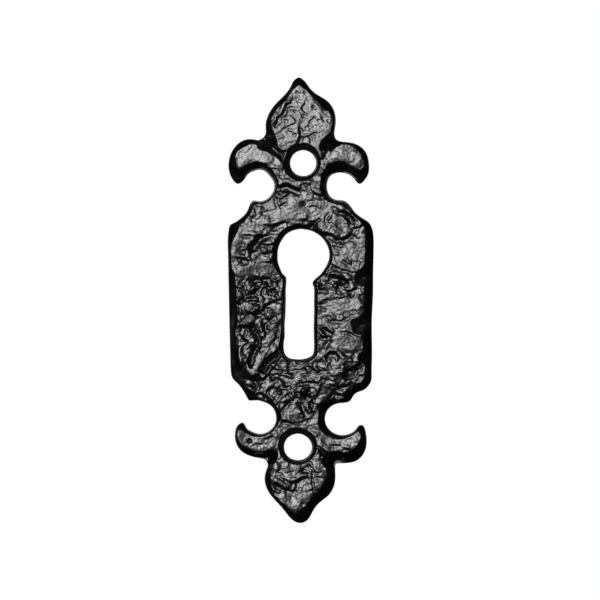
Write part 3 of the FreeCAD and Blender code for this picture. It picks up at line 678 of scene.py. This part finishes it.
def relief(points, h, skin):
    """Adds the leanings, the crinkled skin, the folds and the dents."""
    x, y = points[:, 0], points[:, 1]
    h = h.copy()
    for cx, cy, right, down, lower_, fx, fy in PARTS:
        window = (smoothstep(fx[0], fx[1], x) * smoothstep(fx[3], fx[2], x)
                  * smoothstep(fy[0], fy[1], y) * smoothstep(fy[3], fy[2], y))
        h += ((right * (x - cx) + down * (y - cy)) * UNIT - lower_) * window
    for cx, cy, radius, right, down in LEANS:
        dx, dy = (x - cx) * UNIT, (y - cy) * UNIT
        h += (right * dx + down * dy) * np.exp(-(dx * dx + dy * dy) / (radius * UNIT) ** 2) * skin
    sx, sy = x + 2.2 * noise(x, y, 8.0, 41), y + 2.2 * noise(x, y, 8.0, 42)
    for cx, cy, wide, tall_, right, down in SLABS:
        r = np.hypot((sx - cx) / wide, (sy - cy) / tall_)
        window = smoothstep(1.2, 0.8, r)
        h += (right * (x - cx) + down * (y - cy)) * UNIT * window * skin
    h += skin * crinkle(x, y) - 0.08 - 0.10 * areas(x, y, WILD)
    for rise, half, ax, ay, bx, by in LENSES:
        d, _, _ = path_offset(points, [(ax, ay), (bx, by)])
        room = np.clip((TOP + 0.05 - h) / 0.35, 0, 1) if rise > 0.2 else 1.0
        h += rise * np.exp(-(d / half) ** 2) * room
    for strength, half, path in FOLDS:
        p = np.asarray(path, float)
        reach = 4.0 * half + 1.0
        near = np.where((x > p[:, 0].min() - reach) & (x < p[:, 0].max() + reach)
                        & (y > p[:, 1].min() - reach) & (y < p[:, 1].max() + reach))[0]
        if len(near) == 0:
            continue
        q = points[near] + 0.55 * np.stack([noise(x[near], y[near], 3.5, 21),
                                            noise(x[near], y[near], 3.5, 22)], axis=1)
        d, side, s = path_offset(q, p)
        fade = np.clip(np.minimum(s, 1 - s) * 5 + 0.45, 0, 1)
        # a step that falls towards the lower right, with gentle rises beside it
        wide = 1.85 * half
        step = side * np.exp(-(d / wide) ** 2) * UNIT
        h[near] -= strength * 0.48 * fade * step * np.clip(skin[near] * 2, 0, 1)
    q = np.stack([x + 1.3 * noise(x, y, 6.0, 43) + 0.6 * noise(x, y, 3.0, 45),
                  y + 1.3 * noise(x, y, 6.0, 44) + 0.6 * noise(x, y, 3.0, 46)], axis=1)
    for depth, half, path in GULLIES:
        # the side towards the upper left slopes down, the other is short and steep
        d, side, _ = path_offset(q, path)
        reach = np.where(side < 0, half, 0.4 * half)
        h -= depth * np.clip(1 - d / reach, 0, 1) * smoothstep(0.0, 0.5, skin)
    for depth, radius, cx, cy in DENTS:
        d = np.hypot(x - cx, y - cy)
        h -= depth * np.exp(-(d / radius) ** 2)
    # the highest places were hammered flat
    over = np.clip(h - 2.98, 0, None)
    h -= over * over / (over + 0.22)
    return np.maximum(h, 0.7)


# --------------------------------------------------------------------- the mesh
def lattice(step, margin, loop, holes):
    lo, hi = loop.min(0), loop.max(0)
    rows = np.arange(lo[1], hi[1], step * math.sqrt(3) / 2)
    cols = np.arange(lo[0], hi[0], step)
    p = np.array([(c + (0.5 * step if j % 2 else 0), r) for j, r in enumerate(rows) for c in cols])
    p = p[inside(p, loop)]
    for hole in holes:
        p = p[~inside(p, hole)]
    far = np.ones(len(p), bool)
    for l in [loop] + holes:
        far &= distance(p, l) > margin
    return p[far]


def rows(loops, offsets):
    """Rows of points that run along the loops, at these distances into the face."""
    kept, taken = [], {}
    for k, loop in enumerate(loops):
        fine = smooth_loop(loop, 0.15)
        tangent = np.roll(loop, -1, 0) - np.roll(loop, 1, 0)
        inward = np.stack([-tangent[:, 1], tangent[:, 0]], axis=1)
        inward /= np.linalg.norm(inward, axis=1)[:, None]
        if k:
            inward = -inward
        for off in offsets:
            p = loop + off * inward
            p = p[nearest(p, fine) > 0.93 * off]
            for q in p:
                i, j = int(q[0] // 0.5), int(q[1] // 0.5)
                close = False
                for cell in ((i + a, j + b) for a in (-1, 0, 1) for b in (-1, 0, 1)):
                    for other, row in taken.get(cell, ()):
                        gap = 0.30 if row == (k, off) else 0.14
                        if math.hypot(q[0] - other[0], q[1] - other[1]) < gap:
                            close = True
                if not close:
                    taken.setdefault((i, j), []).append((q, (k, off)))
                    kept.append(q)
    return np.array(kept)


def fill(loops, points):
    """Triangles between the first loop and the others, through all points."""
    co, edges = [], []
    for loop in loops:
        base = len(co)
        co.extend(Vector(map(float, p)) for p in loop)
        n = len(loop)
        edges.extend((base + i, base + (i + 1) % n) for i in range(n))
    fixed = len(co)
    co.extend(Vector(map(float, p)) for p in points)
    vs, _, fs, ov, _, _ = geometry.delaunay_2d_cdt(co, edges, [], 1, 1e-7)
    if len(vs) != len(co) or any(len(o) != 1 or o[0] != i for i, o in enumerate(ov)):
        raise RuntimeError("the face's points were merged")
    xy, tri = np.array([tuple(v) for v in vs]), np.array(fs, dtype=np.int64)
    # a triangle between three points of one hole fills the hole when it turns
    # the same way as the hole's loop
    owner = np.full(len(xy), -1)
    begin = 0
    for k, loop in enumerate(loops):
        owner[begin:begin + len(loop)] = k
        begin += len(loop)
    same = (owner[tri] > 0).all(axis=1) & (np.ptp(owner[tri], axis=1) == 0)
    a, b, c = (xy[i] for i in np.sort(tri, axis=1).T)
    turn = (b[:, 0] - a[:, 0]) * (c[:, 1] - a[:, 1]) - (b[:, 1] - a[:, 1]) * (c[:, 0] - a[:, 0])
    return xy, tri[~(same & (turn > 0))], fixed


loops = [outline] + HOLES
OFFSETS = (0.18, 0.48, 0.92, 1.50, 2.20, 2.95)
points = np.vstack([lattice(STEP, OFFSETS[-1] + 0.48, outline, HOLES), rows(loops, OFFSETS)])
plan, face_tris, rim_count = fill(loops, points)
d_out = distance(plan, outline)
d_key, d_up, d_low = (distance(plan, l) for l in HOLES)
rim = 0
for k, loop in enumerate(loops):
    (d_out, d_key, d_up, d_low)[k][rim:rim + len(loop)] = 0.0
    rim += len(loop)
tall, skin_share = base_height(plan, d_out, d_key, d_up, d_low)
tall = relief(plan, tall, skin_share)


def world(xy, h):
    """Grid points and heights to metres."""
    xy = np.asarray(xy)
    return np.stack([(xy[:, 0] - AXIS_X) * UNIT, -np.asarray(h, float) * np.ones(len(xy)),
                     (AXIS_Y - xy[:, 1]) * UNIT], axis=1) / 1000


def orient(co, tris, normal_y):
    """Turns triangles so that their normals have the given sign along y."""
    a, b, c = co[tris[:, 0]], co[tris[:, 1]], co[tris[:, 2]]
    n = np.cross(b - a, c - a)[:, 1]
    flip = n * normal_y < 0
    tris = tris.copy()
    tris[flip] = tris[flip][:, ::-1]
    return tris


verts = [world(plan, tall)]
faces = [orient(verts[0], face_tris, -1.0)]
forward = {(a, b) for t in faces[0].tolist() for a, b in zip(t, t[1:] + t[:1])
           if a < rim_count and b < rim_count}
total = len(plan)
base = 0
back_rings = []
for k, loop in enumerate(loops):
    n = len(loop)
    ring_now = np.arange(base, base + n)
    base += n
    top_h = tall[ring_now]
    tangent = np.roll(loop, -1, 0) - np.roll(loop, 1, 0)
    normal = np.stack([tangent[:, 1], -tangent[:, 0]], axis=1)
    normal /= np.linalg.norm(normal, axis=1)[:, None]
    if k:                                     # into the metal, not the hole
        normal = -normal
    for share, out in ((0.50, 0.0), (None, 0.0), (0.0, -0.55)):
        if share is None:
            h = np.full(n, 0.11)
        else:
            h = top_h * share
        xy = loop + out * normal
        ring_new = np.arange(total, total + n)
        verts.append(world(xy, h))
        total += n
        a, b = ring_now, np.roll(ring_now, -1)
        c, d = np.roll(ring_new, -1), ring_new
        quad = np.stack([a, b, c, d], axis=1)
        if (base - n, base - n + 1) in forward:
            quad = quad[:, ::-1]
        faces.append(quad)
        ring_now = ring_new
    back_rings.append((ring_now, xy))

back_points = lattice(5.0, 2.0, back_rings[0][1], [r[1] for r in back_rings[1:]])
back_plan, back_tris, fixed = fill([r[1] for r in back_rings], back_points)
index = np.concatenate([r[0] for r in back_rings] + [np.arange(total, total + len(back_points))])
verts.append(world(back_plan[fixed:], np.zeros(len(back_points))))
co = np.vstack(verts)
faces.append(orient(co, index[back_tris], 1.0))

mesh = bpy.data.meshes.new("escutcheon_casting")
mesh.from_pydata(co.tolist(), [], [f.tolist() for block in faces for f in block])
mesh.update()
mesh.validate()
mesh.shade_smooth()
for face in mesh.polygons:                    # the back is flat
    if face.center[1] > -2e-5:
        face.use_smooth = False
plate = bpy.data.objects.new("escutcheon_casting", mesh)
bpy.context.scene.collection.objects.link(plate)
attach(plate, "root")
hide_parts("escutcheon_plate")

# ------------------------------------------------------------------ the material
paint = bpy.data.materials.new("black_paint")
paint.use_nodes = True
tree = paint.node_tree
tree.nodes.clear()


def node(kind, **values):
    n = tree.nodes.new(kind)
    for name, value in values.items():
        if name in n.inputs:
            n.inputs[name].default_value = value
        else:
            setattr(n, name, value)
    return n


def link(a, b):
    tree.links.new(a, b)


out = node("ShaderNodeOutputMaterial")
skin = node("ShaderNodeBsdfPrincipled")
link(skin.outputs["BSDF"], out.inputs["Surface"])
skin.inputs["IOR"].default_value = 1.5
coord = node("ShaderNodeTexCoord")
# colour: black, a little lighter where the paint is thin
cloud = node("ShaderNodeTexNoise", Scale=420.0, Detail=5.0, Roughness=0.6)
link(coord.outputs["Object"], cloud.inputs["Vector"])
shade = node("ShaderNodeValToRGB")
shade.color_ramp.elements[0].position = 0.3
shade.color_ramp.elements[0].color = (0.0004, 0.0004, 0.0004, 1)
shade.color_ramp.elements[1].position = 0.75
shade.color_ramp.elements[1].color = (0.0014, 0.0014, 0.0014, 1)
link(cloud.outputs["Fac"], shade.inputs["Fac"])
link(shade.outputs["Color"], skin.inputs["Base Color"])
# roughness: patches of duller and glossier paint
patch = node("ShaderNodeTexNoise", Scale=260.0, Detail=4.0, Roughness=0.55)
link(coord.outputs["Object"], patch.inputs["Vector"])
rough = node("ShaderNodeMapRange")
rough.inputs["From Min"].default_value = 0.3
rough.inputs["From Max"].default_value = 0.7
rough.inputs["To Min"].default_value = 0.28
rough.inputs["To Max"].default_value = 0.38
link(patch.outputs["Fac"], rough.inputs["Value"])
link(rough.outputs["Result"], skin.inputs["Roughness"])
# fine grain of the sand casting under the paint
grain = node("ShaderNodeTexNoise", Scale=3200.0, Detail=3.0, Roughness=0.6)
link(coord.outputs["Object"], grain.inputs["Vector"])
bump = node("ShaderNodeBump")
bump.inputs["Strength"].default_value = 0.35
bump.inputs["Distance"].default_value = 0.00003
link(grain.outputs["Fac"], bump.inputs["Height"])
link(bump.outputs["Normal"], skin.inputs["Normal"])
mesh.materials.append(paint)

# ------------------------------------------------------------- stage and lights
white = bpy.data.materials.new("pale_floor")
white.use_nodes = True
white.node_tree.nodes.clear()
glow = white.node_tree.nodes.new("ShaderNodeEmission")
glow.inputs["Color"].default_value = (1, 1, 1, 1)
glow.inputs["Strength"].default_value = 1.0
floor_out = white.node_tree.nodes.new("ShaderNodeOutputMaterial")
white.node_tree.links.new(glow.outputs["Emission"], floor_out.inputs["Surface"])
floor_mesh = bpy.data.meshes.new("floor")
r, z = 3.0, -0.060
floor_mesh.from_pydata([(-r, -r, z), (r, -r, z), (r, r, z), (-r, r, z)], [], [(0, 1, 2, 3)])
floor_mesh.materials.append(white)
floor = bpy.data.objects.new("floor", floor_mesh)
bpy.context.scene.collection.objects.link(floor)
floor.visible_glossy = False
floor.visible_diffuse = False
floor.visible_shadow = False

scene = bpy.context.scene
env = bpy.data.worlds.new("studio")
scene.world = env
env.use_nodes = True
wt = env.node_tree
wt.nodes.clear()
w_out = wt.nodes.new("ShaderNodeOutputWorld")
mix = wt.nodes.new("ShaderNodeMixShader")
path = wt.nodes.new("ShaderNodeLightPath")
plain = wt.nodes.new("ShaderNodeBackground")
plain.inputs["Color"].default_value = (1, 1, 1, 1)
plain.inputs["Strength"].default_value = 1.0
room = wt.nodes.new("ShaderNodeBackground")
direction = wt.nodes.new("ShaderNodeTexCoord")
split = wt.nodes.new("ShaderNodeSeparateXYZ")
ramp = wt.nodes.new("ShaderNodeValToRGB")
ramp.color_ramp.elements[0].position = 0.0
ramp.color_ramp.elements[0].color = (0.002, 0.002, 0.002, 1)
ramp.color_ramp.elements[1].position = 1.0
ramp.color_ramp.elements[1].color = (1.0, 1.0, 1.0, 1)
e = ramp.color_ramp.elements.new(0.74)
e.color = (0.002, 0.002, 0.002, 1)
half = wt.nodes.new("ShaderNodeMapRange")
half.inputs["From Min"].default_value = -1.0
half.inputs["From Max"].default_value = 1.0
wt.links.new(direction.outputs["Generated"], split.inputs["Vector"])
wt.links.new(split.outputs["Y"], half.inputs["Value"])
wt.links.new(half.outputs["Result"], ramp.inputs["Fac"])
wt.links.new(ramp.outputs["Color"], room.inputs["Color"])
room.inputs["Strength"].default_value = 0.5
wt.links.new(path.outputs["Is Camera Ray"], mix.inputs["Fac"])
wt.links.new(room.outputs["Background"], mix.inputs[1])
wt.links.new(plain.outputs["Background"], mix.inputs[2])
wt.links.new(mix.outputs["Shader"], w_out.inputs["Surface"])

CENTRE = Vector(((300.1 - AXIS_X) * UNIT / 1000, -0.0012, (AXIS_Y - 299.8) * UNIT / 1000))


def softbox(name, right, up, dist, size, radiance):
    """A square soft light that faces the plate, at angles off the camera's axis."""
    data = bpy.data.lights.new(name, "AREA")
    data.shape = "SQUARE"
    data.size = size
    data.energy = radiance * math.pi * size * size
    obj = bpy.data.objects.new(name, data)
    scene.collection.objects.link(obj)
    a, b = math.radians(right), math.radians(up)
    way = Vector((math.sin(a) * math.cos(b), -math.cos(a) * math.cos(b), math.sin(b)))
    obj.location = CENTRE + way * dist
    obj.rotation_mode = "QUATERNION"
    obj.rotation_quaternion = way.to_track_quat("Z", "Y")
    obj.visible_camera = False
    return obj


softbox("wide_light", -9.0, 8.0, 1.0, 0.76, 1.6)
softbox("key_light", -10.5, 9.5, 1.05, 0.37, 26.0)

# --------------------------------------------------------------------- camera
LENS = 180.0
cam_data = bpy.data.cameras.new("camera")
cam_data.lens = LENS
cam_data.sensor_width = 36.0
cam = bpy.data.objects.new("camera", cam_data)
scene.collection.objects.link(cam)
wide_m = 599.4 * UNIT / 1000
cam.location = CENTRE + Vector((0, -wide_m * LENS / 36.0, 0))
cam.rotation_euler = (math.radians(90), 0, 0)
cam_data.clip_start, cam_data.clip_end = 0.01, 50.0
scene.camera = cam
scene.view_settings.view_transform = "Standard"
scene.view_settings.look = "None"

print("triangles", sum(len(p.vertices) - 2 for p in mesh.polygons), "points", len(mesh.vertices))
